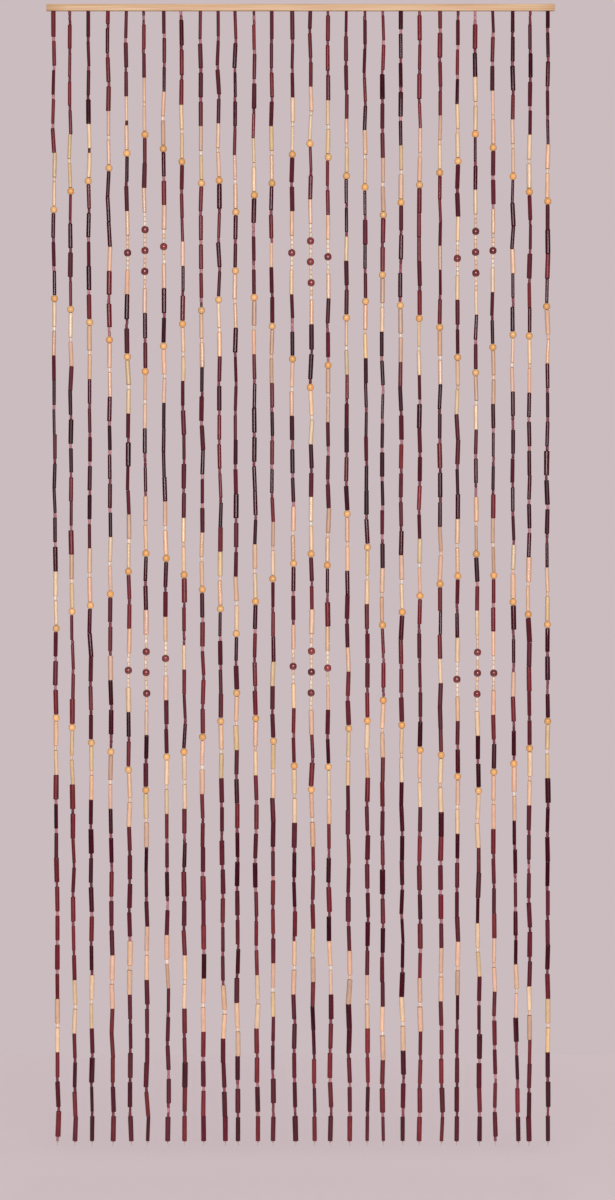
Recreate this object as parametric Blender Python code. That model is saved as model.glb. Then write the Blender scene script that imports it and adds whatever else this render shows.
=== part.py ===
"""Bamboo bead door curtain: a slim heading lath with 28 hanging strands, fused as one solid.

Metres, Z up. The origin is the middle of the lath's top edge. Width runs along X, and the
front faces -Y. The strands hang down. Sizes whose name ends in _MM are millimetres.
"""
import math
import random
from collections import namedtuple

import bmesh
import bpy

MM = 0.001
STRANDS = 28
PITCH_MM = 32.4
LATH_LENGTH_MM = 900.0
LATH_HEIGHT_MM = 12.0
LATH_DEPTH_MM = 7.2
DROP_MM = 2000.0

TUBE_MM = 43.3
SEED_MM = 8.1
ROUND_MM = 12.6
ROUND_WIDTH_MM = {"amber": 12.3, "red": 12.8}
SEED_WIDTH_MM = 5.1
SHORTEST_TUBE_MM = 20.0

# A square with this share of a round bead's width has the same area as its round section.
SQUARE = 0.886
# A round bead is flattened where the string goes in, so its end rings are narrow.
ROUND_END = 0.42

# The diamonds repeat every nine strands, and these strands run through their middles.
DIAMOND_STRANDS = (6, 15, 24)
# Red beads in a diamond's middle, for the distance in strands from that middle.
REDS_AT = {0: 3, 1: 1, 2: 0}
# On these strands the third amber bead is strung above its light pair.
AMBER_ABOVE_PAIR = (17, 18)

PAIR = ["light_tube", "light_seed", "light_tube"]
LENGTH_MM = {
    "dark_tube": TUBE_MM,
    "light_tube": TUBE_MM,
    "dark_seed": SEED_MM,
    "light_seed": SEED_MM,
    "amber": ROUND_MM,
    "red": ROUND_MM,
}

# One row a strand, in millimetres. Heights below the lath: the middles of the four amber beads,
# the middles of the two centre groups, and the top of the last pair of light tubes. Then how
# far aside of even spacing the strand hangs at the four PLUMB_MM heights.
Row = namedtuple(
    "Row",
    "strand amber_1 centre_1 amber_2 amber_3 centre_2 amber_4 last_pair x_top x_upper x_lower x_foot",
)
PLUMB_MM = (0, 580, 1200, 1965)
CHART = [
    Row(1, 352, None, 509, 1093, None, 1251, 1748, 0.0, 1.0, 4.0, 8.0),
    Row(2, 319, None, 528, 1063, None, 1268, 1715, -3.5, -2.0, 0.5, 5.5),
    Row(3, 301, None, 551, 1052, None, 1295, 1706, -3.5, -1.5, 1.0, 3.5),
    Row(4, 278, 439, 582, 1032, 1163, 1311, 1671, -0.5, 2.0, 3.5, 8.0),
    Row(5, 252, 428, 612, 992, 1167, 1343, 1646, -1.0, 1.5, 4.0, 7.0),
    Row(6, 219, 424, 638, 960, 1171, 1379, 1620, -2.5, 0.0, 2.0, 4.0),
    Row(7, 244, 417, 593, 969, 1146, 1320, 1635, 1.0, 0.5, 5.0, 8.5),
    Row(8, 267, 430, 554, 998, 1144, 1311, 1671, -1.0, 2.0, 5.0, 6.0),
    Row(9, 305, None, 530, 1024, None, 1285, 1712, 1.0, 3.0, 5.0, 7.0),
    Row(10, 300, None, 511, 1058, None, 1257, 1724, 0.0, 2.0, 4.5, 11.0),
    Row(11, 356, None, 460, 1102, None, 1207, 1755, -3.0, -2.0, 0.0, 2.5),
    Row(12, 326, None, 507, 1045, None, 1252, 1706, -2.0, -1.0, 1.0, 5.0),
    Row(13, 305, 432, 558, 1005, 1173, 1292, 1685, -2.5, -2.5, -0.5, 0.0),
    Row(14, 254, 428, 616, 978, 1160, 1336, 1646, 1.5, 1.5, 4.0, 6.0),
    Row(15, 235, 444, 666, 961, 1170, 1378, 1624, 0.5, 2.5, 3.0, 8.0),
    Row(16, 259, 435, 627, 981, 1163, 1338, 1646, -0.5, -0.5, 0.0, 5.0),
    Row(17, 292, 421, 543, 890, 1148, 1270, 1663, -0.5, 0.5, 3.0, 5.5),
    Row(18, 312, None, 514, 949, None, 1256, 1706, 0.0, 2.0, 4.5, 5.5),
    Row(19, 361, None, 467, 1087, None, 1220, 1762, -0.5, -1.0, -0.5, -1.0),
    Row(20, 339, None, 521, 1064, None, 1264, 1745, -1.0, -1.0, 0.5, 2.5),
    Row(21, 308, None, 544, 1035, None, 1308, 1711, -0.5, -0.5, 0.5, 0.5),
    Row(22, 286, 437, 560, 1014, 1168, 1317, 1658, 3.5, 4.0, 4.0, 7.0),
    Row(23, 266, 438, 613, 1000, 1183, 1355, 1647, 3.0, 2.5, 2.5, 2.0),
    Row(24, 218, 427, 640, 961, 1172, 1380, 1614, 1.0, 2.0, 5.0, 9.0),
    Row(25, 242, 424, 595, 999, 1172, 1347, 1641, -0.5, 0.0, 1.5, 3.0),
    Row(26, 293, 443, 573, 1046, 1192, 1332, 1687, 2.5, 2.5, 3.5, 11.5),
    Row(27, 320, None, 575, 1068, None, 1305, 1726, 1.0, 0.0, -0.5, -0.5),
    Row(28, 337, None, 523, 1086, None, 1257, 1748, 0.0, -0.5, -1.0, 0.5),
]

Bead = namedtuple("Bead", "kind top length width")


def clipped(rng, spread, limit):
    """Draw a small seeded error that never passes the limit."""
    return max(-limit, min(limit, rng.gauss(0.0, spread)))


def centre_kinds(strand):
    """List the beads of a diamond's middle on one strand, from the top down."""
    reds = REDS_AT[min(abs(strand - middle) for middle in DIAMOND_STRANDS)]
    kinds = ["light_tube"]
    if reds:
        kinds += (["light_seed"] * 3 + ["red"]) * reds
        kinds += ["light_seed"] * 3 + ["light_tube"]
    return kinds


def total_length(kinds):
    """Add up the plain lengths of beads."""
    return sum(LENGTH_MM[kind] for kind in kinds)


def charted_groups(row):
    """Give each charted group of beads on a strand with the height of its top."""
    pair = total_length(PAIR)
    half_round = ROUND_MM / 2
    groups = [(row.amber_1 - half_round - pair, PAIR + ["amber"])]
    if row.centre_1:
        kinds = centre_kinds(row.strand)
        groups.append((row.centre_1 - total_length(kinds) / 2, kinds))
    groups.append((row.amber_2 - half_round, ["amber"] + PAIR))
    if row.strand in AMBER_ABOVE_PAIR:
        groups.append((row.amber_3 - half_round, ["amber"] + PAIR))
    else:
        groups.append((row.amber_3 - half_round - pair, PAIR + ["amber"]))
    if row.centre_2:
        kinds = centre_kinds(row.strand)
        groups.append((row.centre_2 - total_length(kinds) / 2, kinds))
    groups.append((row.amber_4 - half_round, ["amber"] + PAIR))
    groups.append((row.last_pair, list(PAIR)))
    return groups


def filling(gap, rng):
    """Choose stained tubes and seeds for a gap, and the share by which its tubes stretch."""
    tubes = max(1, round((gap + SEED_MM) / (TUBE_MM + SEED_MM)))
    seeds = max(0, round((gap - tubes * TUBE_MM) / SEED_MM))
    after = [0] * tubes
    inner = list(range(tubes - 1))
    if seeds <= len(inner):
        for place in rng.sample(inner, seeds):
            after[place] += 1
    else:
        for place in inner:
            after[place] += 1
        for _ in range(seeds - len(inner)):
            after[rng.randrange(tubes)] += 1
    kinds = []
    for count in after:
        kinds += ["dark_tube"] + ["dark_seed"] * count
    stretch = (gap - seeds * SEED_MM) / (tubes * TUBE_MM)
    return kinds, stretch


def top_filling(gap):
    """Fill from the first light pair up to the lath; the topmost tube may be cut short."""
    whole = int(gap // (TUBE_MM + SEED_MM))
    rest = gap - whole * (TUBE_MM + SEED_MM)
    kinds = ["dark_seed", "dark_tube"] * whole
    if rest > SHORTEST_TUBE_MM:
        return [("dark_tube", rest)], kinds, 1.0
    seeds = round(rest / SEED_MM)
    stretch = 1.0 + (rest - seeds * SEED_MM) / max(1.0, whole * TUBE_MM)
    return [("dark_seed", SEED_MM)] * seeds, kinds, stretch


def bead_width(kind, top, rng):
    """Draw a bead's width. Tubes differ most, as canes do, and are thicker towards the foot."""
    if kind.endswith("tube"):
        return 6.7 + 1.3 * top / DROP_MM + clipped(rng, 0.85, 1.9)
    if kind.endswith("seed"):
        return SEED_WIDTH_MM + clipped(rng, 0.25, 0.5)
    return ROUND_WIDTH_MM[kind] + clipped(rng, 0.15, 0.3)


def string_beads(row, rng):
    """List every bead of one strand from the lath down."""
    beads = []

    def add(kind, length):
        top = beads[-1].top + beads[-1].length if beads else 0.0
        beads.append(Bead(kind, top, length, bead_width(kind, top, rng)))

    def add_all(kinds, stretch):
        for kind in kinds:
            tube = kind.endswith("tube")
            add(kind, LENGTH_MM[kind] * (stretch if tube else 1.0))

    groups = charted_groups(row)
    first, kinds, stretch = top_filling(groups[0][0])
    for kind, length in first:
        add(kind, length)
    add_all(kinds, stretch)
    for place, (_, kinds) in enumerate(groups):
        add_all(kinds, 1.0)
        bottom = beads[-1].top + beads[-1].length
        ahead = groups[place + 1][0] if place + 1 < len(groups) else DROP_MM
        kinds, stretch = filling(ahead - bottom, rng)
        add_all(kinds, stretch)
    return beads


def string_path(beads, row, rng):
    """Give the kinked line a strand hangs in, as (height, x, y) at the ends of its tubes."""
    even = (row.strand - (STRANDS + 1) / 2) * PITCH_MM
    plumb = [(height, aside) for height, aside in zip(PLUMB_MM, row[-len(PLUMB_MM):])]
    heights = [0.0]
    long_beads = [bead for bead in beads if not bead.kind.endswith("seed")]
    for above, below in zip(long_beads, long_beads[1:]):
        if LENGTH_MM[above.kind] == ROUND_MM:
            heights.append(above.top + above.length / 2)
        elif LENGTH_MM[below.kind] == TUBE_MM:
            heights.append((above.top + above.length + below.top) / 2)
    heights.append(DROP_MM)
    path = []
    for height in heights:
        loose = 0.0 if height == 0.0 else 1.0
        x = even + between(plumb, height) + loose * clipped(rng, 0.8, 1.8)
        y = loose * clipped(rng, 0.6, 1.3)
        path.append((height, x, y))
    return path


def between(points, height):
    """Read a value off straight lines through (height, value) points."""
    for (h0, v0), (h1, v1) in zip(points, points[1:]):
        if height <= h1:
            return v0 + (v1 - v0) * (height - h0) / (h1 - h0)
    return points[-1][1]


def on_path(path, height):
    """Find where the kinked line is at a height."""
    for (h0, x0, y0), (h1, x1, y1) in zip(path, path[1:]):
        if height <= h1:
            share = (height - h0) / (h1 - h0)
            return x0 + (x1 - x0) * share, y0 + (y1 - y0) * share
    return path[-1][1], path[-1][2]


def width_near(beads, height):
    """Average the widths of the tubes that end at a height."""
    widths = [
        bead.width for bead in beads
        if bead.kind.endswith("tube")
        and bead.top - 2 * SEED_MM < height < bead.top + bead.length + 2 * SEED_MM
    ]
    return sum(widths) / len(widths) if widths else SEED_WIDTH_MM


def shoulders(beads):
    """List (height, side) where a light tube meets the row of seeds beside a red bead."""
    found = []
    kinds = [bead.kind for bead in beads]
    for place, bead in enumerate(beads):
        if bead.kind != "light_tube":
            continue
        side = SQUARE * (bead.width + SEED_WIDTH_MM) / 2
        if kinds[place + 1:place + 3] == ["light_seed", "light_seed"]:
            found.append((bead.top + bead.length, side))
        if kinds[max(0, place - 2):place] == ["light_seed", "light_seed"]:
            found.append((bead.top, side))
    return found


def strand_sections(beads, path):
    """List (height, side) of the square sections: one a joint and three a round bead."""
    rounds = [bead for bead in beads if LENGTH_MM[bead.kind] == ROUND_MM]
    middles = {bead.top + bead.length / 2: bead for bead in rounds}
    sections = shoulders(beads)
    for height, _, _ in path[1:]:
        bead = middles.get(height)
        if bead is None:
            sections.append((height, SQUARE * width_near(beads, height)))
            continue
        end = ROUND_END * bead.width
        sections.append((height - bead.length / 2, end))
        sections.append((height, SQUARE * bead.width))
        sections.append((height + bead.length / 2, end))
    return sorted(sections)


def ring(bm, x, y, z, side_x, side_y):
    """Add four corners of a level rectangle, in order around it."""
    corners = ((-1, -1), (1, -1), (1, 1), (-1, 1))
    return [
        bm.verts.new((MM * (x + a * side_x / 2), MM * (y + b * side_y / 2), MM * z))
        for a, b in corners
    ]


def join_rings(bm, upper, lower):
    """Close the four sides between two rings."""
    for i in range(4):
        j = (i + 1) % 4
        bm.faces.new((upper[i], lower[i], lower[j], upper[j]))


def add_strand(bm, root_ring, beads, path):
    """Hang one strand from the ring of corners on the lath's underside."""
    upper = root_ring
    for height, side in strand_sections(beads, path):
        x, y = on_path(path, height)
        lower = ring(bm, x, y, -LATH_HEIGHT_MM - height, side, side)
        join_rings(bm, upper, lower)
        upper = lower
    bm.faces.new(upper)


def add_lath(bm, roots):
    """Make the lath from sections along X, with an open square under each root."""
    half_root = LATH_DEPTH_MM / 2
    stations = [-LATH_LENGTH_MM / 2]
    for x in roots:
        stations += [x - half_root, x + half_root]
    stations.append(LATH_LENGTH_MM / 2)
    corners = (
        (-half_root, 0.0),
        (half_root, 0.0),
        (half_root, -LATH_HEIGHT_MM),
        (-half_root, -LATH_HEIGHT_MM),
    )
    loops = [
        [bm.verts.new((MM * x, MM * y, MM * z)) for y, z in corners]
        for x in stations
    ]
    root_rings = []
    for place, (left, right) in enumerate(zip(loops, loops[1:])):
        for i in range(4):
            j = (i + 1) % 4
            under = i == 2
            if under and place % 2 == 1:
                continue
            bm.faces.new((left[i], left[j], right[j], right[i]))
        if place % 2 == 1:
            root_rings.append([left[3], right[3], right[2], left[2]])
    bm.faces.new(loops[0])
    bm.faces.new(loops[-1])
    return root_rings


def build_curtain():
    """Build the lath and all strands as one closed mesh."""
    strands = []
    for row in CHART:
        rng = random.Random(row.strand)
        beads = string_beads(row, rng)
        strands.append((beads, string_path(beads, row, rng)))
    bm = bmesh.new()
    root_rings = add_lath(bm, [path[0][1] for _, path in strands])
    for root_ring, (beads, path) in zip(root_rings, strands):
        add_strand(bm, root_ring, beads, path)
    bmesh.ops.recalc_face_normals(bm, faces=bm.faces)
    mesh = bpy.data.meshes.new("curtain")
    bm.to_mesh(mesh)
    bm.free()
    curtain = bpy.data.objects.new("curtain", mesh)
    bpy.context.scene.collection.objects.link(curtain)
    return curtain


def stained_material():
    """Make the dark red-brown of the stained bamboo."""
    material = bpy.data.materials.new("stained_bamboo")
    material.use_nodes = True
    shader = material.node_tree.nodes["Principled BSDF"]
    shader.inputs["Base Color"].default_value = (0.107, 0.014, 0.021, 1.0)
    shader.inputs["Roughness"].default_value = 0.3
    return material


for old in list(bpy.data.objects):
    bpy.data.objects.remove(old)

curtain = build_curtain()
curtain.data.materials.append(stained_material())
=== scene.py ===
"""Looks of the bamboo bead door curtain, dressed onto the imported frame.

Metres, Z up, in the frame's own axes: width along X, the front faces -Y, and the strands hang
down from a slim lath whose top edge is at the origin. Names that end in _MM are millimetres.
"""
import math
import random
from collections import namedtuple

import bpy
import numpy as np
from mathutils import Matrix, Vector


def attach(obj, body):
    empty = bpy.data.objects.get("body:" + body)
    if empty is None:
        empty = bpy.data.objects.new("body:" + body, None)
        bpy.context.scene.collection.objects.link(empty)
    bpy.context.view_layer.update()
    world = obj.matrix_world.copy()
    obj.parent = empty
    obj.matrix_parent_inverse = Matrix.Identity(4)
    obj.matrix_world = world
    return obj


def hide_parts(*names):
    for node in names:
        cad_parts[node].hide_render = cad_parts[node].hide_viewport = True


MM = 0.001

# The curtain's sizes, as in the part's source.
STRANDS = 28
PITCH_MM = 32.4
LATH_LENGTH_MM = 900.0
LATH_HEIGHT_MM = 12.0
LATH_DEPTH_MM = 7.2
DROP_MM = 2000.0
TUBE_MM = 43.3
SEED_MM = 8.1
ROUND_MM = 12.6
SHORTEST_TUBE_MM = 20.0
STRING_MM = 0.9

# The diamonds repeat every nine strands, and these strands run through their middles.
DIAMOND_STRANDS = (6, 15, 24)
# Red beads in a diamond's middle, for the distance in strands from that middle.
REDS_AT = {0: 3, 1: 1, 2: 0}
# On these strands the third amber bead is strung above its light pair.
AMBER_ABOVE_PAIR = (17, 18)
# The first light pair of these strands has a brown seed between its tubes.
BROWN_SEED_IN_PAIR = (3, 5)

PAIR = ["light_tube", "light_seed", "light_tube"]
LENGTH_MM = {
    "dark_tube": TUBE_MM,
    "light_tube": TUBE_MM,
    "dark_seed": SEED_MM,
    "light_seed": SEED_MM,
    "brown_seed": SEED_MM,
    "amber": ROUND_MM,
    "red": ROUND_MM,
}

# One row a strand, in millimetres. Heights below the lath: the middles of the four amber beads,
# the middles of the two centre groups, and the top of the last pair of light tubes. Then how
# far aside of even spacing the strand hangs at the four PLUMB_MM heights.
Row = namedtuple(
    "Row",
    "strand amber_1 centre_1 amber_2 amber_3 centre_2 amber_4 last_pair x_top x_upper x_lower x_foot",
)
PLUMB_MM = (0, 580, 1200, 1965)
CHART = [
    Row(1, 352, None, 509, 1093, None, 1251, 1748, 0.0, 1.0, 4.0, 8.0),
    Row(2, 319, None, 528, 1063, None, 1268, 1715, -3.5, -2.0, 0.5, 5.5),
    Row(3, 301, None, 551, 1052, None, 1295, 1706, -3.5, -1.5, 1.0, 3.5),
    Row(4, 278, 439, 582, 1032, 1163, 1311, 1671, -0.5, 2.0, 3.5, 8.0),
    Row(5, 252, 428, 612, 992, 1167, 1343, 1646, -1.0, 1.5, 4.0, 7.0),
    Row(6, 219, 424, 638, 960, 1171, 1379, 1620, -2.5, 0.0, 2.0, 4.0),
    Row(7, 244, 417, 593, 969, 1146, 1320, 1635, 1.0, 0.5, 5.0, 8.5),
    Row(8, 267, 430, 554, 998, 1144, 1311, 1671, -1.0, 2.0, 5.0, 6.0),
    Row(9, 305, None, 530, 1024, None, 1285, 1712, 1.0, 3.0, 5.0, 7.0),
    Row(10, 300, None, 511, 1058, None, 1257, 1724, 0.0, 2.0, 4.5, 11.0),
    Row(11, 356, None, 460, 1102, None, 1207, 1755, -3.0, -2.0, 0.0, 2.5),
    Row(12, 326, None, 507, 1045, None, 1252, 1706, -2.0, -1.0, 1.0, 5.0),
    Row(13, 305, 432, 558, 1005, 1173, 1292, 1685, -2.5, -2.5, -0.5, 0.0),
    Row(14, 254, 428, 616, 978, 1160, 1336, 1646, 1.5, 1.5, 4.0, 6.0),
    Row(15, 235, 444, 666, 961, 1170, 1378, 1624, 0.5, 2.5, 3.0, 8.0),
    Row(16, 259, 435, 627, 981, 1163, 1338, 1646, -0.5, -0.5, 0.0, 5.0),
    Row(17, 292, 421, 543, 890, 1148, 1270, 1663, -0.5, 0.5, 3.0, 5.5),
    Row(18, 312, None, 514, 949, None, 1256, 1706, 0.0, 2.0, 4.5, 5.5),
    Row(19, 361, None, 467, 1087, None, 1220, 1762, -0.5, -1.0, -0.5, -1.0),
    Row(20, 339, None, 521, 1064, None, 1264, 1745, -1.0, -1.0, 0.5, 2.5),
    Row(21, 308, None, 544, 1035, None, 1308, 1711, -0.5, -0.5, 0.5, 0.5),
    Row(22, 286, 437, 560, 1014, 1168, 1317, 1658, 3.5, 4.0, 4.0, 7.0),
    Row(23, 266, 438, 613, 1000, 1183, 1355, 1647, 3.0, 2.5, 2.5, 2.0),
    Row(24, 218, 427, 640, 961, 1172, 1380, 1614, 1.0, 2.0, 5.0, 9.0),
    Row(25, 242, 424, 595, 999, 1172, 1347, 1641, -0.5, 0.0, 1.5, 3.0),
    Row(26, 293, 443, 573, 1046, 1192, 1332, 1687, 2.5, 2.5, 3.5, 11.5),
    Row(27, 320, None, 575, 1068, None, 1305, 1726, 1.0, 0.0, -0.5, -0.5),
    Row(28, 337, None, 523, 1086, None, 1257, 1748, 0.0, -0.5, -1.0, 0.5),
]

Bead = namedtuple("Bead", "kind top length width")
# A bead where it hangs: its strand, kind, two end points in millimetres, and width.
Hung = namedtuple("Hung", "strand kind upper lower width")


def clipped(rng, spread, limit):
    """Draw a small seeded error that never passes the limit."""
    return max(-limit, min(limit, rng.gauss(0.0, spread)))


def centre_kinds(strand):
    """List the beads of a diamond's middle on one strand, from the top down."""
    reds = REDS_AT[min(abs(strand - middle) for middle in DIAMOND_STRANDS)]
    kinds = ["light_tube"]
    if reds:
        kinds += (["light_seed"] * 3 + ["red"]) * reds
        kinds += ["light_seed"] * 3 + ["light_tube"]
    return kinds


def total_length(kinds):
    """Add up the plain lengths of beads."""
    return sum(LENGTH_MM[kind] for kind in kinds)


def charted_groups(row):
    """Give each charted group of beads on a strand with the height of its top."""
    pair = total_length(PAIR)
    half_round = ROUND_MM / 2
    first_pair = list(PAIR)
    if row.strand in BROWN_SEED_IN_PAIR:
        first_pair[1] = "brown_seed"
    groups = [(row.amber_1 - half_round - pair, first_pair + ["amber"])]
    if row.centre_1:
        kinds = centre_kinds(row.strand)
        groups.append((row.centre_1 - total_length(kinds) / 2, kinds))
    groups.append((row.amber_2 - half_round, ["amber"] + PAIR))
    if row.strand in AMBER_ABOVE_PAIR:
        groups.append((row.amber_3 - half_round, ["amber"] + PAIR))
    else:
        groups.append((row.amber_3 - half_round - pair, PAIR + ["amber"]))
    if row.centre_2:
        kinds = centre_kinds(row.strand)
        groups.append((row.centre_2 - total_length(kinds) / 2, kinds))
    groups.append((row.amber_4 - half_round, ["amber"] + PAIR))
    groups.append((row.last_pair, list(PAIR)))
    return groups


def filling(gap, rng):
    """Choose stained tubes and seeds for a gap, and the share by which its tubes stretch."""
    tubes = max(1, round((gap + SEED_MM) / (TUBE_MM + SEED_MM)))
    seeds = max(0, round((gap - tubes * TUBE_MM) / SEED_MM))
    after = [0] * tubes
    inner = list(range(tubes - 1))
    if seeds <= len(inner):
        for place in rng.sample(inner, seeds):
            after[place] += 1
    else:
        for place in inner:
            after[place] += 1
        for _ in range(seeds - len(inner)):
            after[rng.randrange(tubes)] += 1
    kinds = []
    for count in after:
        kinds += ["dark_tube"] + ["dark_seed"] * count
    stretch = (gap - seeds * SEED_MM) / (tubes * TUBE_MM)
    return kinds, stretch


def top_filling(gap):
    """Fill from the first light pair up to the lath; the topmost tube may be cut short."""
    whole = int(gap // (TUBE_MM + SEED_MM))
    rest = gap - whole * (TUBE_MM + SEED_MM)
    kinds = ["dark_seed", "dark_tube"] * whole
    if rest > SHORTEST_TUBE_MM:
        return [("dark_tube", rest)], kinds, 1.0
    seeds = round(rest / SEED_MM)
    stretch = 1.0 + (rest - seeds * SEED_MM) / max(1.0, whole * TUBE_MM)
    return [("dark_seed", SEED_MM)] * seeds, kinds, stretch


# A bead's width at the lath, what a tube gains by the foot, how far widths spread, and the most
# that one may differ. Tubes differ most, as canes do.
Girth = namedtuple("Girth", "width gain spread limit")
GIRTH = {
    "tube": Girth(6.7, 1.3, 0.85, 1.9),
    "seed": Girth(5.1, 0.0, 0.25, 0.5),
    "amber": Girth(12.3, 0.0, 0.15, 0.3),
    "red": Girth(12.8, 0.0, 0.15, 0.3),
}


def for_kind(table, kind):
    """Look up a kind of bead, or the tubes or seeds that it is one of."""
    return table[kind] if kind in table else table[kind.split("_")[1]]


def bead_width(kind, top, rng):
    """Draw a bead's width by its kind and height."""
    girth = for_kind(GIRTH, kind)
    return girth.width + girth.gain * top / DROP_MM + clipped(rng, girth.spread, girth.limit)


def string_beads(row, rng):
    """List every bead of one strand from the lath down."""
    beads = []

    def add(kind, length):
        top = beads[-1].top + beads[-1].length if beads else 0.0
        beads.append(Bead(kind, top, length, bead_width(kind, top, rng)))

    def add_all(kinds, stretch):
        for kind in kinds:
            tube = kind.endswith("tube")
            add(kind, LENGTH_MM[kind] * (stretch if tube else 1.0))

    groups = charted_groups(row)
    first, kinds, stretch = top_filling(groups[0][0])
    for kind, length in first:
        add(kind, length)
    add_all(kinds, stretch)
    for place, (_, kinds) in enumerate(groups):
        add_all(kinds, 1.0)
        bottom = beads[-1].top + beads[-1].length
        ahead = groups[place + 1][0] if place + 1 < len(groups) else DROP_MM
        kinds, stretch = filling(ahead - bottom, rng)
        add_all(kinds, stretch)
    return beads


# How far a string strays aside and forward at each kink: its spread and limit.
KINK_ASIDE_MM = (0.8, 1.8)
KINK_FORWARD_MM = (0.6, 1.3)


def string_path(beads, row, rng):
    """Give the kinked line a strand hangs in, as (height, x, y) at the ends of its tubes."""
    even = (row.strand - (STRANDS + 1) / 2) * PITCH_MM
    plumb = list(zip(PLUMB_MM, row[-len(PLUMB_MM):]))
    heights = [0.0]
    long_beads = [bead for bead in beads if not bead.kind.endswith("seed")]
    for above, below in zip(long_beads, long_beads[1:]):
        if LENGTH_MM[above.kind] == ROUND_MM:
            heights.append(above.top + above.length / 2)
        elif LENGTH_MM[below.kind] == TUBE_MM:
            heights.append((above.top + above.length + below.top) / 2)
    heights.append(DROP_MM)
    path = []
    for height in heights:
        loose = 0.0 if height == 0.0 else 1.0
        x = even + between(plumb, height) + loose * clipped(rng, *KINK_ASIDE_MM)
        y = loose * clipped(rng, *KINK_FORWARD_MM)
        path.append((height, x, y))
    return path


def between(points, height):
    """Read a value off straight lines through (height, value) points."""
    for (h0, v0), (h1, v1) in zip(points, points[1:]):
        if height <= h1:
            return v0 + (v1 - v0) * (height - h0) / (h1 - h0)
    return points[-1][1]


def on_path(path, height):
    """Find where the kinked line is at a height."""
    for (h0, x0, y0), (h1, x1, y1) in zip(path, path[1:]):
        if height <= h1:
            share = (height - h0) / (h1 - h0)
            return x0 + (x1 - x0) * share, y0 + (y1 - y0) * share
    return path[-1][1], path[-1][2]


# How far a bead may sit off its string's line, in millimetres, and tip, in degrees, since its
# hole is wider than the string.
Play = namedtuple("Play", "aside tip")
PLAY = {
    "tube": Play(0.30, 0.35),
    "seed": Play(0.26, 1.9),
    "amber": Play(0.25, 4.0),
    "red": Play(0.25, 4.0),
}
JOINT_GAP_MM = 0.25
# Seeds of the random draws: each strand's play, the strings, and the first piece of beads.
PLAY_SEED = 500
STRING_SEED = 77
FIRST_PIECE_SEED = 1001


def hang_beads(row):
    """Place every bead of one strand, each a little off the string's line and tipped."""
    rng = random.Random(row.strand)
    beads = string_beads(row, rng)
    path = string_path(beads, row, rng)
    loose = random.Random(PLAY_SEED + row.strand)
    hung = []
    for bead in beads:
        play = for_kind(PLAY, bead.kind)
        low = bead.top + bead.length
        upper = Vector((*on_path(path, bead.top), -LATH_HEIGHT_MM - bead.top))
        lower = Vector((*on_path(path, low), -LATH_HEIGHT_MM - low))
        aside = level_error(loose, play.aside)
        tip = level_error(loose, math.tan(math.radians(play.tip)) * bead.length / 2)
        along = (lower - upper).normalized() * (JOINT_GAP_MM / 2)
        upper += aside + tip + along
        lower += aside - tip - along
        hung.append(Hung(row.strand, bead.kind, upper, lower, bead.width))
    return hung, path


def level_error(rng, spread):
    """Draw a small level shift."""
    return Vector((clipped(rng, spread, 2 * spread), clipped(rng, spread, 2 * spread), 0.0))


# One ring of a turned bead: radius = wide * R + off, place = along * half length + in_by, with
# in_by in millimetres from the nearer end. cut is 0 on the skin, 1 on a sawn face, 2 in the hole,
# and sets how far the colour goes towards the finish's darker end colour: painted shade in the
# hole and on the skin by the joints, and partly the sawn end grain's own colour.
Ring = namedtuple("Ring", "wide off along in_by cut")


def both_ends(top_rings, middle=()):
    """Mirror the rings of the top end to the bottom, with any middle rings between."""
    lower = [ring._replace(along=-ring.along) for ring in reversed(top_rings)]
    return [*top_rings, *middle, *lower]


TUBE_RINGS = both_ends(
    [
        Ring(0.0, 0.5, 1.0, 2.6, 2.0),
        Ring(0.54, 0.0, 1.0, 0.0, 1.2),
        Ring(1.0, -0.28, 1.0, 0.0, 1.0),
        Ring(1.0, 0.0, 1.0, 0.32, 0.35),
        Ring(1.0, 0.02, 1.0, 1.5, 0.0),
        Ring(1.0, 0.05, 0.34, 0.0, 0.0),
    ]
)
SEED_RINGS = both_ends(
    [
        Ring(0.0, 0.5, 1.0, 1.4, 2.0),
        Ring(0.46, 0.0, 1.0, 0.0, 1.0),
        Ring(0.80, 0.0, 1.0, 0.06, 0.7),
        Ring(0.92, 0.0, 1.0, 0.42, 0.25),
        Ring(0.985, 0.0, 1.0, 1.15, 0.05),
    ],
    [Ring(1.0, 0.0, 0.0, 0.0, 0.0)],
)


# The rings down a round bead's skin, and the angle from its axis at which its hole opens.
ROUND_STEPS = 13
HOLE_ANGLE = math.radians(12.5)


def round_rings(square):
    """Turn a ball whose outline is a little square, with a drilled hole."""
    skin = []
    for step in range(ROUND_STEPS):
        angle = HOLE_ANGLE + (math.pi - 2 * HOLE_ANGLE) * step / (ROUND_STEPS - 1)
        s = math.sin(angle)
        c = math.cos(angle)
        size = (abs(s) ** square + abs(c) ** square) ** (-1 / square)
        skin.append(Ring(s * size, 0.0, c * size, 0.0, 0.0))
    rim = skin[0]
    hole = [
        Ring(0.0, 0.5, rim.along, 1.6, 2.0),
        Ring(rim.wide * 0.9, 0.0, rim.along, 0.25, 1.5),
    ]
    return both_ends(hole, skin)


def around(ring_total, sides, through):
    """List the quads between rings of points, joined through a hole or closed with caps."""
    i = np.arange(ring_total if through else ring_total - 1)[:, None]
    j = np.arange(sides)[None, :]
    after = (j + 1) % sides
    upper = i * sides
    lower = (upper + sides) % (ring_total * sides)
    quads = np.stack([upper + j, lower + j, lower + after, upper + after], axis=-1).reshape(-1, 4)
    if through:
        return quads
    cap = np.array([(0, k, k + 1, k + 2) for k in range(1, sides - 2, 2)])
    return np.concatenate([quads, cap, cap[:, ::-1] + (ring_total - 1) * sides])


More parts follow.
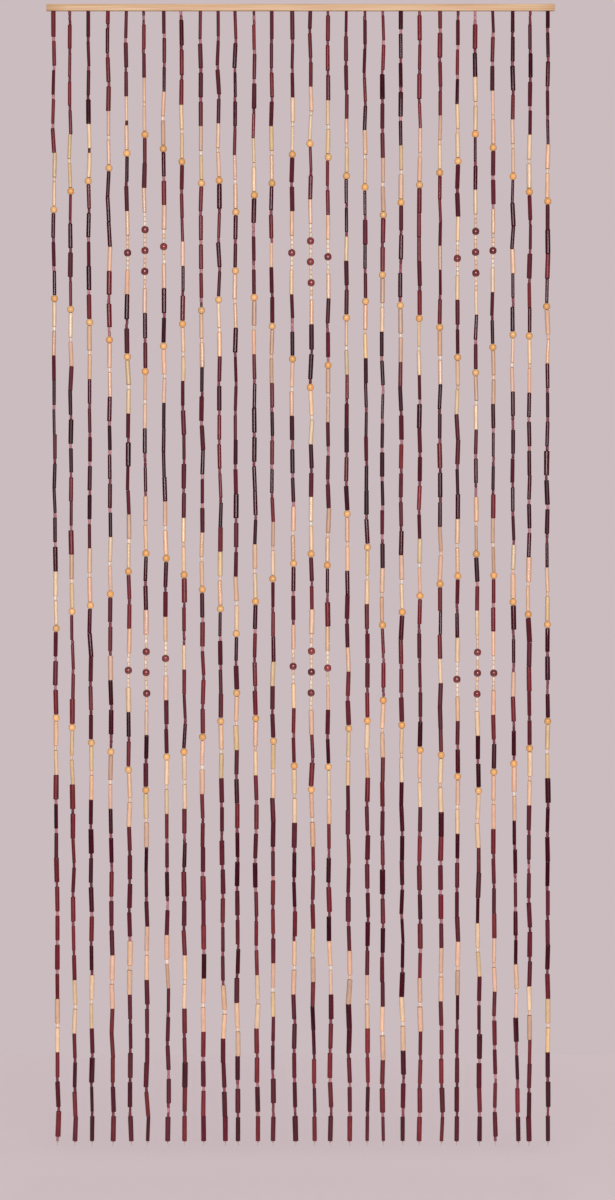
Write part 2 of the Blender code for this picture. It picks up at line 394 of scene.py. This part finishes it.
def bead_axes(hung):
    """Give each bead's middle, half length, radius and three directions as arrays."""
    upper = np.array([bead.upper for bead in hung])
    lower = np.array([bead.lower for bead in hung])
    radius = np.array([bead.width for bead in hung]) / 2
    half = np.linalg.norm(upper - lower, axis=1) / 2
    axis = (upper - lower) / (2 * half[:, None])
    side = np.cross(axis, [0.0, 1.0, 0.0])
    side /= np.linalg.norm(side, axis=1)[:, None]
    front = np.cross(axis, side)
    return (upper + lower) / 2, half, radius, side, front, axis


# Where the wavy knobs of a skin start round a bead, in radians.
KNOB_TURN = 1.3
# Each bead takes its grain from its own place within this many millimetres.
GRAIN_RANGE_MM = 400


def uneven_skin(rng, reach, wide, sides, shape):
    """Give the points round each ring, sideways and forward, out of round and a little wavy."""
    count, ring_total = reach.shape
    spin = rng.random(count) * math.tau
    angle = np.arange(sides) / sides * math.tau + spin[:, None]
    squash = 1 + rng.normal(0.0, shape.oval, count)[:, None] * np.cos(2 * (angle - spin[:, None]))
    waves = rng.normal(0.0, shape.wobble, (count, ring_total, 1))
    knobs = waves * np.cos(angle[:, None, :] * 2 + KNOB_TURN) * (wide > 0)[None, :, None]
    out = reach[:, :, None] * squash[:, None, :] * (1 + knobs)
    return out * np.cos(angle)[:, None, :], out * np.sin(angle)[:, None, :]


def turn_beads(hung, rings, sides, seed, shape):
    """Turn many beads at once. Gives points, quads, and each point's grain, cut and map place."""
    rng = np.random.default_rng(seed)
    count = len(hung)
    middle, half, radius, side, front, axis = bead_axes(hung)
    wide, off, along, in_by, cut = (np.array(column) for column in zip(*rings))
    height = along * half[:, None] - in_by * np.sign(along)
    reach = wide * radius[:, None] + off
    lean = rng.normal(0.0, shape.taper, count)[:, None] * np.clip(height / half[:, None], -1, 1)
    reach *= 1 + lean * (wide > 0)

    a, b = uneven_skin(rng, reach, wide, sides, shape)
    saw = rng.normal(0.0, 1.0, (count, 2, 2)) * shape.saw
    ends = np.abs(along) == 1.0
    slope = saw[:, np.where(along > 0, 0, 1), :] * ends[None, :, None]
    c = height[:, :, None] + slope[:, :, 0:1] * a + slope[:, :, 1:2] * b
    points = (
        middle[:, None, None, :]
        + a[..., None] * side[:, None, None, :]
        + b[..., None] * front[:, None, None, :]
        + c[..., None] * axis[:, None, None, :]
    )
    grain = np.stack([a, b, c], axis=-1) + rng.random((count, 1, 1, 3)) * GRAIN_RANGE_MM
    cuts = np.broadcast_to(cut[None, :, None], a.shape)
    quad = around(len(rings), sides, True)
    quads = (quad[None] + (np.arange(count) * len(rings) * sides)[:, None, None]).reshape(-1, 4)
    down = np.hypot(np.diff(height[0]), np.diff(reach[0]))
    maps = bead_maps(count, down, half.mean(), radius.mean(), sides)
    return points.reshape(-1, 3) * MM, quads, grain.reshape(-1, 3), cuts.reshape(-1), maps


def quad_corners(v, sides):
    """Give the map corners of the quads between rings at heights v, on a map one unit wide."""
    i = np.arange(len(v) - 1)[:, None]
    j = np.arange(sides)[None, :]
    u0, u1, v0, v1 = np.broadcast_arrays(j / sides, (j + 1) / sides, v[i], v[i + 1])
    corner_u = np.stack([u0, u0, u1, u1], axis=-1).reshape(-1, 4)
    corner_v = np.stack([v0, v1, v1, v0], axis=-1).reshape(-1, 4)
    return corner_u, corner_v


# Room that every ring gets on a bead's map beside its own height, the height of the ring inside
# the hole that closes it, and the edge left free round each cell.
MAP_ROOM_MM = 0.35
MAP_HOLE_MM = 1.0
MAP_MARGIN = 0.035


def bead_maps(count, down, half, radius, sides):
    """Lay each bead's skin in its own cell of a square map. down is the way between its rings."""
    steps = np.append(down + MAP_ROOM_MM, MAP_HOLE_MM)
    v = np.concatenate([[0.0], np.cumsum(steps)]) / steps.sum()
    tall = (2 * half + 4 * radius) / (math.tau * radius)
    columns = max(1, round(math.sqrt(count * tall)))
    rows = math.ceil(count / columns)
    cell = np.arange(count)
    span = 1 - 2 * MAP_MARGIN
    left = (cell % columns)[:, None, None] + MAP_MARGIN
    base = (cell // columns)[:, None, None] + MAP_MARGIN
    corner_u, corner_v = quad_corners(v, sides)
    across = (left + span * corner_u[None]) / columns
    up = (base + span * corner_v[None]) / rows
    return np.stack([across, up], axis=-1).reshape(-1, 2)


def new_piece(name, points, quads, material):
    """Make a smooth mesh object from arrays, riding on the one body and standing for the solid."""
    mesh = bpy.data.meshes.new(name)
    mesh.vertices.add(len(points))
    mesh.vertices.foreach_set("co", np.ascontiguousarray(points, np.float32).ravel())
    mesh.loops.add(quads.size)
    mesh.loops.foreach_set("vertex_index", quads.astype(np.int32).ravel())
    mesh.polygons.add(len(quads))
    mesh.polygons.foreach_set("loop_start", np.arange(0, quads.size, quads.shape[1], dtype=np.int32))
    mesh.update(calc_edges=True)
    mesh.validate()
    mesh.shade_smooth()
    mesh.materials.append(material)
    piece = bpy.data.objects.new(name, mesh)
    bpy.context.scene.collection.objects.link(piece)
    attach(piece, "root")
    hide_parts("curtain")
    return piece


def set_map(mesh, maps):
    """Store the layout that a baked image of this piece takes."""
    layer = mesh.uv_layers.new(name="OFBake")
    layer.uv.foreach_set("vector", np.ascontiguousarray(maps, np.float32).ravel())


def set_points(mesh, name, kind, values):
    """Store one value or vector for each point."""
    attribute = mesh.attributes.new(name, kind, "POINT")
    key = {"FLOAT": "value", "FLOAT_VECTOR": "vector", "FLOAT_COLOR": "color"}[kind]
    attribute.data.foreach_set(key, np.ascontiguousarray(values, np.float32).ravel())


def bead_piece(name, hung, form, seed, material):
    """Make one object of many turned beads, each with a tint of its own."""
    points, quads, grain, cut, maps = turn_beads(hung, form.rings, form.sides, seed, form.shape)
    piece = new_piece(name, points, quads, material)
    mesh = piece.data
    tints = draw_tints(hung, form.kind, seed)
    colours = np.repeat(np.array(tints), len(form.rings) * form.sides, axis=0)
    set_points(mesh, "tint", "FLOAT_COLOR", colours)
    set_points(mesh, "grain", "FLOAT_VECTOR", grain)
    set_points(mesh, "cut", "FLOAT", cut)
    set_map(mesh, maps)
    return piece


def linear(red, green, blue):
    """Turn an eight-bit display colour into the shader's linear one."""
    def one(value):
        value /= 255
        return value / 12.92 if value <= 0.04045 else ((value + 0.055) / 1.055) ** 2.4

    return one(red), one(green), one(blue)


# Colours of each kind: how often each is drawn, outside and inside the curtain's middle stretch,
# how far it varies, and how rough its gloss is.
Tone = namedtuple("Tone", "outer middle colour spread rough")
# In the middle stretch, where the front lamp's gloss falls on the stained tubes, the darkest stained
# tone is drawn and the lighter ones less often: partly painted shade that tones that gloss down,
# partly darker tubes there.
MIDDLE_MM = (520, 990)
TONES = {
    "dark_tube": [
        Tone(0, 4, linear(60, 20, 30), 0.12, 0.48),
        Tone(3, 3, linear(70, 21, 32), 0.14, 0.17),
        Tone(4, 3, linear(91, 30, 42), 0.12, 0.74),
        Tone(3, 1, linear(116, 38, 45), 0.12, 0.36),
    ],
    "dark_seed": [
        Tone(3, 3, linear(142, 74, 83), 0.12, 0.50),
        Tone(3, 3, linear(116, 49, 60), 0.14, 0.40),
        Tone(2, 2, linear(186, 128, 132), 0.12, 0.50),
    ],
    "brown_seed": [Tone(1, 1, linear(98, 44, 34), 0.08, 0.50)],
    "light_tube": [
        Tone(3, 3, linear(235, 196, 161), 0.06, 0.32),
        Tone(2, 2, linear(240, 210, 172), 0.05, 0.32),
        Tone(1, 1, linear(229, 199, 152), 0.05, 0.34),
        Tone(2, 2, linear(234, 191, 162), 0.05, 0.36),
        Tone(1, 1, linear(209, 171, 142), 0.06, 0.40),
    ],
    "light_seed": [
        Tone(3, 3, linear(245, 219, 190), 0.03, 0.40),
        Tone(2, 2, linear(239, 203, 172), 0.04, 0.42),
        Tone(2, 2, linear(250, 231, 208), 0.03, 0.38),
    ],
    "amber": [
        Tone(3, 3, linear(246, 185, 113), 0.05, 0.26),
        Tone(2, 2, linear(249, 197, 132), 0.05, 0.24),
    ],
    "red": [
        Tone(3, 3, linear(130, 60, 63), 0.10, 0.20),
        Tone(1, 1, linear(150, 69, 69), 0.08, 0.20),
    ],
}
# How often a bead takes its own strand's tone, since a strand is strung from one batch.
SAME_BATCH = 0.5
# How far beads differ in warmth and roughness: the spread and its limit.
WARMTH = (0.03, 0.06)
ROUGHNESS = (0.35, 0.6)


def pick_tone(tones, middle, rng):
    """Draw one tone by how often it comes in this part of the curtain."""
    weights = [tone.middle if middle else tone.outer for tone in tones]
    return rng.choices(tones, weights)[0]


def draw_tints(hung, kind, seed):
    """Draw a tint for each bead, with its roughness last, and many beads of one strand alike."""
    rng = random.Random(seed)
    tones = TONES[kind]
    batch = {
        (strand, middle): pick_tone(tones, middle, rng)
        for strand in range(1, STRANDS + 1)
        for middle in (False, True)
    }
    tints = []
    for bead in hung:
        middle = MIDDLE_MM[0] < -bead.upper.z - LATH_HEIGHT_MM < MIDDLE_MM[1]
        own = pick_tone(tones, middle, rng)
        tone = batch[bead.strand, middle] if rng.random() < SAME_BATCH else own
        bright = math.exp(clipped(rng, tone.spread, 2 * tone.spread))
        warm = clipped(rng, *WARMTH)
        red, green, blue = tone.colour
        rough = tone.rough * math.exp(clipped(rng, *ROUGHNESS))
        tints.append((red * bright * (1 + warm), green * bright, blue * bright * (1 - warm), rough))
    return tints


def node_at(tree, kind, **settings):
    """Add a shader node and set its plain properties."""
    node = tree.nodes.new(kind)
    for key, value in settings.items():
        setattr(node, key, value)
    return node


# Noise over a bead's own millimetres, stretched along its length.
Noise = namedtuple("Noise", "stretch detail")
FIBRES = Noise((1.9, 1.9, 0.05), 3.0)
PATCHES = Noise((0.22, 0.22, 0.06), 2.0)
RIPPLES = Noise((0.24, 0.24, 0.05), 1.0)
NOISE_ROUGHNESS = 0.6
# The values between which the fibres and the patches mostly stay.
FIBRE_RANGE = (0.32, 0.68)
PATCH_RANGE = (0.30, 0.70)
# The sockets of a colour mix: its share, the colour it starts from and the colour it goes to.
MIX_SHARE = 0
MIX_FROM = 6
MIX_TO = 7


def stretched_noise(tree, kind):
    """Add one of these noises, laid over a bead's own coordinates."""
    grain = node_at(tree, "ShaderNodeAttribute", attribute_name="grain")
    scale = node_at(tree, "ShaderNodeVectorMath", operation="MULTIPLY")
    scale.inputs[1].default_value = kind.stretch
    noise = node_at(tree, "ShaderNodeTexNoise")
    noise.inputs["Scale"].default_value = 1.0
    noise.inputs["Detail"].default_value = kind.detail
    noise.inputs["Roughness"].default_value = NOISE_ROUGHNESS
    tree.links.new(grain.outputs["Vector"], scale.inputs[0])
    tree.links.new(scale.outputs[0], noise.inputs["Vector"])
    return noise.outputs["Fac"]


def spread_to(tree, value, low, high, dark, light):
    """Map a value that runs from low to high onto the range from dark to light."""
    node = node_at(tree, "ShaderNodeMapRange")
    node.inputs["From Min"].default_value = low
    node.inputs["From Max"].default_value = high
    node.inputs["To Min"].default_value = dark
    node.inputs["To Max"].default_value = light
    tree.links.new(value, node.inputs["Value"])
    return node.outputs["Result"]


def scaled(tree, colour, factor):
    """Multiply a colour by a number."""
    node = node_at(tree, "ShaderNodeVectorMath", operation="SCALE")
    tree.links.new(colour, node.inputs[0])
    tree.links.new(factor, node.inputs["Scale"])
    return node.outputs[0]


def raised(tree, value, distance, below=None):
    """Add a bump from a value, over another bump where one is given."""
    node = node_at(tree, "ShaderNodeBump")
    node.inputs["Strength"].default_value = 1.0
    node.inputs["Distance"].default_value = distance
    tree.links.new(value, node.inputs["Height"])
    if below is not None:
        tree.links.new(below, node.inputs["Normal"])
    return node.outputs["Normal"]


# What a bead's surface is like. streak and blotch are how far the grain and the broad patches
# darken it, the column after them is the darker colour that sawn faces and the hole are mixed
# towards, painted shade in the hole and by the joints and partly the sawn end grain's own colour,
# and ripple and fibre are how high those stand, in metres.
Finish = namedtuple("Finish", "specular streak blotch edge ripple fibre")
FINISHES = {
    "stained_bamboo": Finish(0.33, 0.16, 0.20, linear(50, 18, 22), 0.00002, 0.000004),
    "natural_bamboo": Finish(0.6, 0.12, 0.09, linear(140, 88, 56), 0.00005, 0.00003),
    "amber_wood": Finish(0.5, 0.08, 0.08, linear(150, 84, 30), 0.00003, 0.00001),
    "red_wood": Finish(0.75, 0.10, 0.10, linear(44, 12, 14), 0.00003, 0.00001),
}


def bead_material(name):
    """Make one finish, with each bead's own tint and its grain along its length."""
    finish = FINISHES[name]
    material = bpy.data.materials.new(name)
    material.use_nodes = True
    tree = material.node_tree
    shader = tree.nodes["Principled BSDF"]
    tint = node_at(tree, "ShaderNodeAttribute", attribute_name="tint")
    cut = node_at(tree, "ShaderNodeAttribute", attribute_name="cut")
    fibres = stretched_noise(tree, FIBRES)
    patches = stretched_noise(tree, PATCHES)
    ripples = stretched_noise(tree, RIPPLES)
    streak = spread_to(tree, fibres, *FIBRE_RANGE, 1 - finish.streak, 1 + finish.streak)
    blotch = spread_to(tree, patches, *PATCH_RANGE, 1 - finish.blotch, 1 + finish.blotch)
    colour = scaled(tree, scaled(tree, tint.outputs["Color"], streak), blotch)
    # The hole is mixed wholly, and sawn faces about half way, towards the darker end colour: painted
    # shade in the hole and by the joints, and partly the sawn end grain's own colour.
    mix = node_at(tree, "ShaderNodeMix", data_type="RGBA")
    mix.inputs[MIX_TO].default_value = (*finish.edge, 1.0)
    end_grain_and_shade_share = spread_to(tree, cut.outputs["Fac"], 0.0, 2.0, 0.0, 1.0)
    tree.links.new(end_grain_and_shade_share, mix.inputs[MIX_SHARE])
    tree.links.new(colour, mix.inputs[MIX_FROM])
    tree.links.new(mix.outputs[2], shader.inputs["Base Color"])
    tree.links.new(tint.outputs["Alpha"], shader.inputs["Roughness"])
    shader.inputs["Specular IOR Level"].default_value = finish.specular
    wavy = raised(tree, ripples, finish.ripple)
    tree.links.new(raised(tree, fibres, finish.fibre, wavy), shader.inputs["Normal"])
    return material


def plain_material(name, colour, rough):
    """Make a plain matt or satin material."""
    material = bpy.data.materials.new(name)
    material.use_nodes = True
    shader = material.node_tree.nodes["Principled BSDF"]
    shader.inputs["Base Color"].default_value = (*colour, 1.0)
    shader.inputs["Roughness"].default_value = rough
    return material


# Where a string starts inside the lath and ends below its last bead, how far inside each bead's
# ends it bends, and its stopper knot and tail, in millimetres above that end.
STRING_START_MM = -1.0
STRING_END_MM = -5.0
BEND_SHARE = 0.06
STRING_SIDES = 6
KNOT_SIDES = 8
KNOT_STEPS = 6
KNOT_MIDDLE_MM = 3.0
KNOT_HALF_MM = 1.5
KNOT_RADIUS_MM = 1.45
KNOT_TIP_MM = 0.02
TAIL_TOP_MM = 2.0
TAIL_STEP_MM = 2.0
TAIL_STEPS = 3
TAIL_SWING_MM = (0.5, 1.0)
TAIL_TIP_SIZE = 0.8


def thread_points(hung, path):
    """Run a string through the ends of every bead, from inside the lath to below the last."""
    root_x, root_y = path[0][1], path[0][2]
    points = [Vector((root_x, root_y, z)) for z in (STRING_START_MM, -LATH_HEIGHT_MM)]
    for bead in hung:
        run = bead.lower - bead.upper
        points.append(bead.upper + run * BEND_SHARE)
        points.append(bead.upper + run * (1 - BEND_SHARE))
    points.append(hung[-1].lower + Vector((0, 0, STRING_END_MM)))
    return points


def sweep(points, radii, sides):
    """Turn a list of points with radii into a round thread of level rings."""
    centres = np.array(points)
    angle = np.arange(sides) / sides * math.tau
    circle = np.stack([np.cos(angle), np.sin(angle), np.zeros(sides)], axis=-1)
    rings = centres[:, None, :] + np.array(radii)[:, None, None] * circle[None]
    return rings.reshape(-1, 3), around(len(points), sides, False), strip_map(centres, sides)


# The share of a strip's height where its skin starts, the height of the caps below it, the free
# edge round each cap, and the free edge on both sides of each strip.
STRIP_START = 0.02
CAP_HEIGHT = 0.01
CAP_EDGE = 0.1
STRIP_EDGE = 0.1


def strip_map(centres, sides):
    """Lay a thread's skin as a strip one unit wide and high, with its two caps cut up below it."""
    run = np.linalg.norm(np.diff(centres, axis=0), axis=1)
    v = STRIP_START + (1 - STRIP_START) * np.append(0.0, np.cumsum(run)) / run.sum()
    skin_u, skin_v = quad_corners(v, sides)
    caps = sides - 2
    cap = np.array([CAP_EDGE, 1 - CAP_EDGE, 1 - CAP_EDGE, CAP_EDGE])
    cap_u = (np.arange(caps)[:, None] + cap) / caps
    cap_v = np.tile([0.0, 0.0, CAP_HEIGHT, CAP_HEIGHT], (caps, 1))
    return np.stack([np.concatenate([skin_u, cap_u]), np.concatenate([skin_v, cap_v])], axis=-1)


def string_parts(hung, path, rng):
    """Make one strand's string with the knot that stops the last bead, and its tail."""
    half = STRING_MM / 2
    points = thread_points(hung, path)
    foot = points[-1]
    knot = []
    knot_radii = []
    for step in range(KNOT_STEPS + 1):
        turn = math.pi * step / KNOT_STEPS
        knot.append(foot + Vector((0, 0, KNOT_MIDDLE_MM + KNOT_HALF_MM * math.cos(turn))))
        knot_radii.append(KNOT_TIP_MM + KNOT_RADIUS_MM * math.sin(turn))
    swing = Vector((clipped(rng, *TAIL_SWING_MM), clipped(rng, *TAIL_SWING_MM), 0))
    tail = [foot + Vector((0, 0, TAIL_TOP_MM))]
    for step in range(1, TAIL_STEPS + 1):
        tail.append(foot + Vector((0, 0, TAIL_TOP_MM - TAIL_STEP_MM * step)) + swing * step / 2)
    return [
        sweep(points, [half] * len(points), STRING_SIDES),
        sweep(knot, knot_radii, KNOT_SIDES),
        sweep(tail, [half] * TAIL_STEPS + [half * TAIL_TIP_SIZE], STRING_SIDES),
    ]


def joined(parts):
    """Join threads into one set of points, quads and map, with their strips side by side."""
    points = []
    quads = []
    maps = []
    start = 0
    for place, (some_points, some_quads, strip) in enumerate(parts):
        points.append(some_points)
        quads.append(some_quads + start)
        across = (place + STRIP_EDGE + (1 - 2 * STRIP_EDGE) * strip[..., 0]) / len(parts)
        maps.append(np.stack([across, strip[..., 1]], axis=-1))
        start += len(some_points)
    return np.concatenate(points), np.concatenate(quads), np.concatenate(maps)


def make_strings(strands, material):
    """Make all the strings as one piece."""
    rng = random.Random(STRING_SEED)
    parts = []
    for hung, path in strands:
        parts += string_parts(hung, path, rng)
    points, quads, maps = joined(parts)
    piece = new_piece("strings", points * MM, quads, material)
    set_map(piece.data, maps)
    return piece


# The radius of the lath's long edges, and how far in and how small its ends are softened.
LATH_EDGE_MM = 0.9
LATH_END_MM = 0.5
LATH_END_SIZE = 0.80
LATH_EDGE_STEPS = 3
LATH_PARTS = 24


def make_lath(material):
    """Make the heading lath as a bar with softened long edges and ends."""
    half_depth = LATH_DEPTH_MM / 2
    soft = LATH_EDGE_MM
    outline = []
    for cy, cz, start in (
        (half_depth - soft, -soft, 0),
        (-half_depth + soft, -soft, 90),
        (-half_depth + soft, -LATH_HEIGHT_MM + soft, 180),
        (half_depth - soft, -LATH_HEIGHT_MM + soft, 270),
    ):
        for step in range(LATH_EDGE_STEPS + 1):
            angle = math.radians(start + 90 * step / LATH_EDGE_STEPS)
            outline.append((cy + soft * math.cos(angle), cz + soft * math.sin(angle)))
    outline = np.array(outline)
    centre = np.array([0.0, -LATH_HEIGHT_MM / 2])
    half = LATH_LENGTH_MM / 2
    stations = [(half, LATH_END_SIZE), (half - LATH_END_MM, 1.0)]
    stations += [(half - LATH_LENGTH_MM * step / LATH_PARTS, 1.0) for step in range(1, LATH_PARTS)]
    stations += [(-half + LATH_END_MM, 1.0), (-half, LATH_END_SIZE)]
    loops = []
    for x, size in stations:
        across = centre + (outline - centre) * size
        loops.append(np.column_stack([np.full(len(across), x), across]))
    points = np.concatenate(loops)
    quads = around(len(stations), len(outline), False)
    return new_piece("heading_lath", points * MM, quads, material)


# The texture's values at and past which each of the two tones is pure.
TONE_FROM = 0.3
TONE_TO = 0.7


def two_toned(material, texture, stretch, low, high):
    """Colour a material between two tones by a texture over its place, stretched along each axis."""
    tree = material.node_tree
    texture.inputs["Scale"].default_value = 1.0
    place = node_at(tree, "ShaderNodeNewGeometry")
    scale = node_at(tree, "ShaderNodeVectorMath", operation="MULTIPLY")
    scale.inputs[1].default_value = stretch
    tree.links.new(place.outputs["Position"], scale.inputs[0])
    tree.links.new(scale.outputs[0], texture.inputs["Vector"])
    tone = node_at(tree, "ShaderNodeValToRGB")
    tone.color_ramp.elements[0].position = TONE_FROM
    tone.color_ramp.elements[0].color = (*low, 1.0)
    tone.color_ramp.elements[1].position = TONE_TO
    tone.color_ramp.elements[1].color = (*high, 1.0)
    tree.links.new(texture.outputs["Fac"], tone.inputs["Fac"])
    tree.links.new(tone.outputs["Color"], tree.nodes["Principled BSDF"].inputs["Base Color"])


def lath_material():
    """Pale lath with long grain."""
    material = plain_material("lath_wood", linear(222, 186, 142), 0.5)
    noise = node_at(material.node_tree, "ShaderNodeTexNoise")
    stretch = (9.0, 900.0, 700.0)
    two_toned(material, noise, stretch, linear(206, 164, 118), linear(232, 200, 158))
    return material


# One turn of the string's twist, how high it stands, how uneven it is, and the length in which
# a diagonal band texture repeats.
TWIST_MM = 1.3
TWIST_HEIGHT_M = 0.00012
TWIST_UNEVEN = 1.2
BAND_UNIT = math.tau / 10


def string_material():
    """Pale thread with the raised strands of its twist, and slanting bands of painted shade, darker
    in its grooves and lighter on its ridges.
    """
    material = plain_material("string", linear(206, 178, 160), 0.8)
    tree = material.node_tree
    twist = node_at(tree, "ShaderNodeTexWave", bands_direction="DIAGONAL")
    twist.inputs["Distortion"].default_value = TWIST_UNEVEN
    stretch = (BAND_UNIT / (TWIST_MM * MM),) * 3
    # The wave that raises the ridges also colours them lighter and the grooves darker: painted shade.
    two_toned(material, twist, stretch, linear(182, 150, 132), linear(220, 194, 178))
    twisted = raised(tree, twist.outputs["Fac"], TWIST_HEIGHT_M)
    tree.links.new(twisted, tree.nodes["Principled BSDF"].inputs["Normal"])
    return material


PIXEL_MM = 1.77
FRAME_HIGH_PX = 1200
CAMERA_X_MM = 12.2
CAMERA_Z_MM = -1054.5
LENS_MM = 85.0
SENSOR_MM = 36.0
FLOOR_Z = -2.052
FLOOR_M = 2.4
SURROUND = linear(203, 188, 191)
# How strongly the surround lights the curtain, beside how strongly it shows, and how much of
# that light the gloss picks up.
SOFT_LIGHT = 0.36
SOFT_GLEAM = 0.25
# How much of the surround's own light the floor gives off, so that the two look alike.
FLOOR_GLOW = 0.43


def look_at(thing, target):
    """Turn an object's -Z towards a point."""
    thing.rotation_euler = (Vector(target) - thing.location).to_track_quat("-Z", "Y").to_euler()


def add_camera():
    """Face the curtain from its front, at the distance where the frame fits."""
    data = bpy.data.cameras.new("camera")
    data.lens = LENS_MM
    data.sensor_width = SENSOR_MM
    camera = bpy.data.objects.new("camera", data)
    distance = LENS_MM * FRAME_HIGH_PX * PIXEL_MM * MM / SENSOR_MM
    camera.location = (CAMERA_X_MM * MM, -distance, CAMERA_Z_MM * MM)
    look_at(camera, (CAMERA_X_MM * MM, 0.0, CAMERA_Z_MM * MM))
    bpy.context.scene.collection.objects.link(camera)
    bpy.context.scene.camera = camera


# A faint warm rose, as the photograph's highlights have.
LAMP_COLOUR = (1.0, 0.93, 0.93)
# Only a lamp with gleam shows in the beads' gloss; the others are soft fill.
Lamp = namedtuple("Lamp", "name place target width height watts gleam")
LAMPS = [
    Lamp("front_softbox", (0.3, -6.3, -0.1), (0.0, 0.0, -1.0), 4.0, 1.9, 300.0, True),
    Lamp("left_fill", (-3.6, -3.2, -0.2), (0.0, 0.0, -1.0), 1.6, 2.4, 9.0, False),
    Lamp("right_fill", (3.6, -3.2, -0.2), (0.0, 0.0, -1.0), 1.6, 2.4, 9.0, False),
    Lamp("back_softbox", (0.6, 6.5, -0.4), (0.0, 0.0, -1.0), 2.0, 2.4, 220.0, False),
]


def add_lights():
    """Light the curtain evenly from the front, with softer light from the sides and behind."""
    for lamp in LAMPS:
        data = bpy.data.lights.new(lamp.name, "AREA")
        data.shape = "RECTANGLE"
        data.size = lamp.width
        data.size_y = lamp.height
        data.energy = lamp.watts
        data.color = LAMP_COLOUR
        light = bpy.data.objects.new(lamp.name, data)
        light.visible_glossy = lamp.gleam
        light.location = lamp.place
        look_at(light, lamp.target)
        bpy.context.scene.collection.objects.link(light)


def add_world():
    """Show a plain pale mauve-grey surround, which lights the curtain only softly."""
    world = bpy.data.worlds.new("studio")
    world.use_nodes = True
    tree = world.node_tree
    ground = tree.nodes["Background"]
    ground.inputs["Color"].default_value = (*SURROUND, 1.0)
    seen = node_at(tree, "ShaderNodeLightPath")
    behind = spread_to(tree, seen.outputs["Is Camera Ray"], 0.0, 1.0, SOFT_LIGHT, 1.0)
    gloss = spread_to(tree, seen.outputs["Is Glossy Ray"], 0.0, 1.0, 1.0, SOFT_GLEAM)
    strength = node_at(tree, "ShaderNodeMath", operation="MULTIPLY")
    tree.links.new(behind, strength.inputs[0])
    tree.links.new(gloss, strength.inputs[1])
    tree.links.new(strength.outputs[0], ground.inputs["Strength"])
    bpy.context.scene.world = world
    bpy.context.scene.view_settings.view_transform = "Standard"


def add_floor():
    """Lay a plain pale floor below the strands' ends, as light as the surround."""
    bpy.ops.mesh.primitive_plane_add(size=FLOOR_M, location=(0.0, 0.0, FLOOR_Z))
    floor = bpy.context.object
    floor.name = "floor"
    material = plain_material("floor", linear(213, 206, 209), 1.0)
    shader = material.node_tree.nodes["Principled BSDF"]
    shader.inputs["Specular IOR Level"].default_value = 0.0
    shader.inputs["Emission Color"].default_value = (*SURROUND, 1.0)
    shader.inputs["Emission Strength"].default_value = FLOOR_GLOW
    floor.data.materials.append(material)


Batch = namedtuple("Batch", "name first last")
BATCHES = [Batch("left", 1, 9), Batch("middle", 10, 18), Batch("right", 19, 28)]
# How uneven a form is: out of round, tapered, wavy along its skin, and sawn askew at its ends.
Shape = namedtuple("Shape", "oval taper wobble saw")
TUBE_SHAPE = Shape(0.022, 0.018, 0.008, 0.03)
SEED_SHAPE = Shape(0.035, 0.030, 0.020, 0.0)
ROUND_SHAPE = Shape(0.006, 0.006, 0.004, 0.0)

Form = namedtuple("Form", "label kind rings sides shape slot")
COMMON_FORMS = [
    Form("stained_tubes", "dark_tube", TUBE_RINGS, 16, TUBE_SHAPE, "stained_bamboo"),
    Form("natural_tubes", "light_tube", TUBE_RINGS, 16, TUBE_SHAPE, "natural_bamboo"),
    Form("stained_seeds", "dark_seed", SEED_RINGS, 12, SEED_SHAPE, "stained_bamboo"),
    Form("natural_seeds", "light_seed", SEED_RINGS, 12, SEED_SHAPE, "natural_bamboo"),
]
RARE_FORMS = [
    Form("amber_beads", "amber", round_rings(2.25), 24, ROUND_SHAPE, "amber_wood"),
    Form("red_beads", "red", round_rings(2.6), 24, ROUND_SHAPE, "red_wood"),
    Form("brown_seeds", "brown_seed", SEED_RINGS, 12, SEED_SHAPE, "stained_bamboo"),
]


def make_beads(all_hung, materials):
    """Make the tubes and seeds in three batches of strands, and each rarer kind as one piece."""
    everything = Batch("", 1, STRANDS)
    jobs = [(form, batch) for form in COMMON_FORMS for batch in BATCHES]
    jobs += [(form, everything) for form in RARE_FORMS]
    for seed, (form, batch) in enumerate(jobs, FIRST_PIECE_SEED):
        hung = [
            bead for bead in all_hung
            if bead.kind == form.kind and batch.first <= bead.strand <= batch.last
        ]
        name = form.label + ("_" + batch.name if batch.name else "")
        bead_piece(name, hung, form, seed, materials[form.slot])


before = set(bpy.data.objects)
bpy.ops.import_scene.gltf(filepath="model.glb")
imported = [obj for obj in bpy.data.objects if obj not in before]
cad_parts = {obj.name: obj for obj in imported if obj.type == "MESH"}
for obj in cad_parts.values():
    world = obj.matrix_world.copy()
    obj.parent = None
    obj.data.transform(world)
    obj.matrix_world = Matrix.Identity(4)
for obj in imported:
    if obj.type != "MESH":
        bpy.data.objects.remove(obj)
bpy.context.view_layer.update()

add_camera()
add_lights()
add_world()
add_floor()

strands = [hang_beads(row) for row in CHART]
all_hung = [bead for hung, _ in strands for bead in hung]
materials = {name: bead_material(name) for name in FINISHES}
make_beads(all_hung, materials)
make_strings(strands, string_material())
make_lath(lath_material())
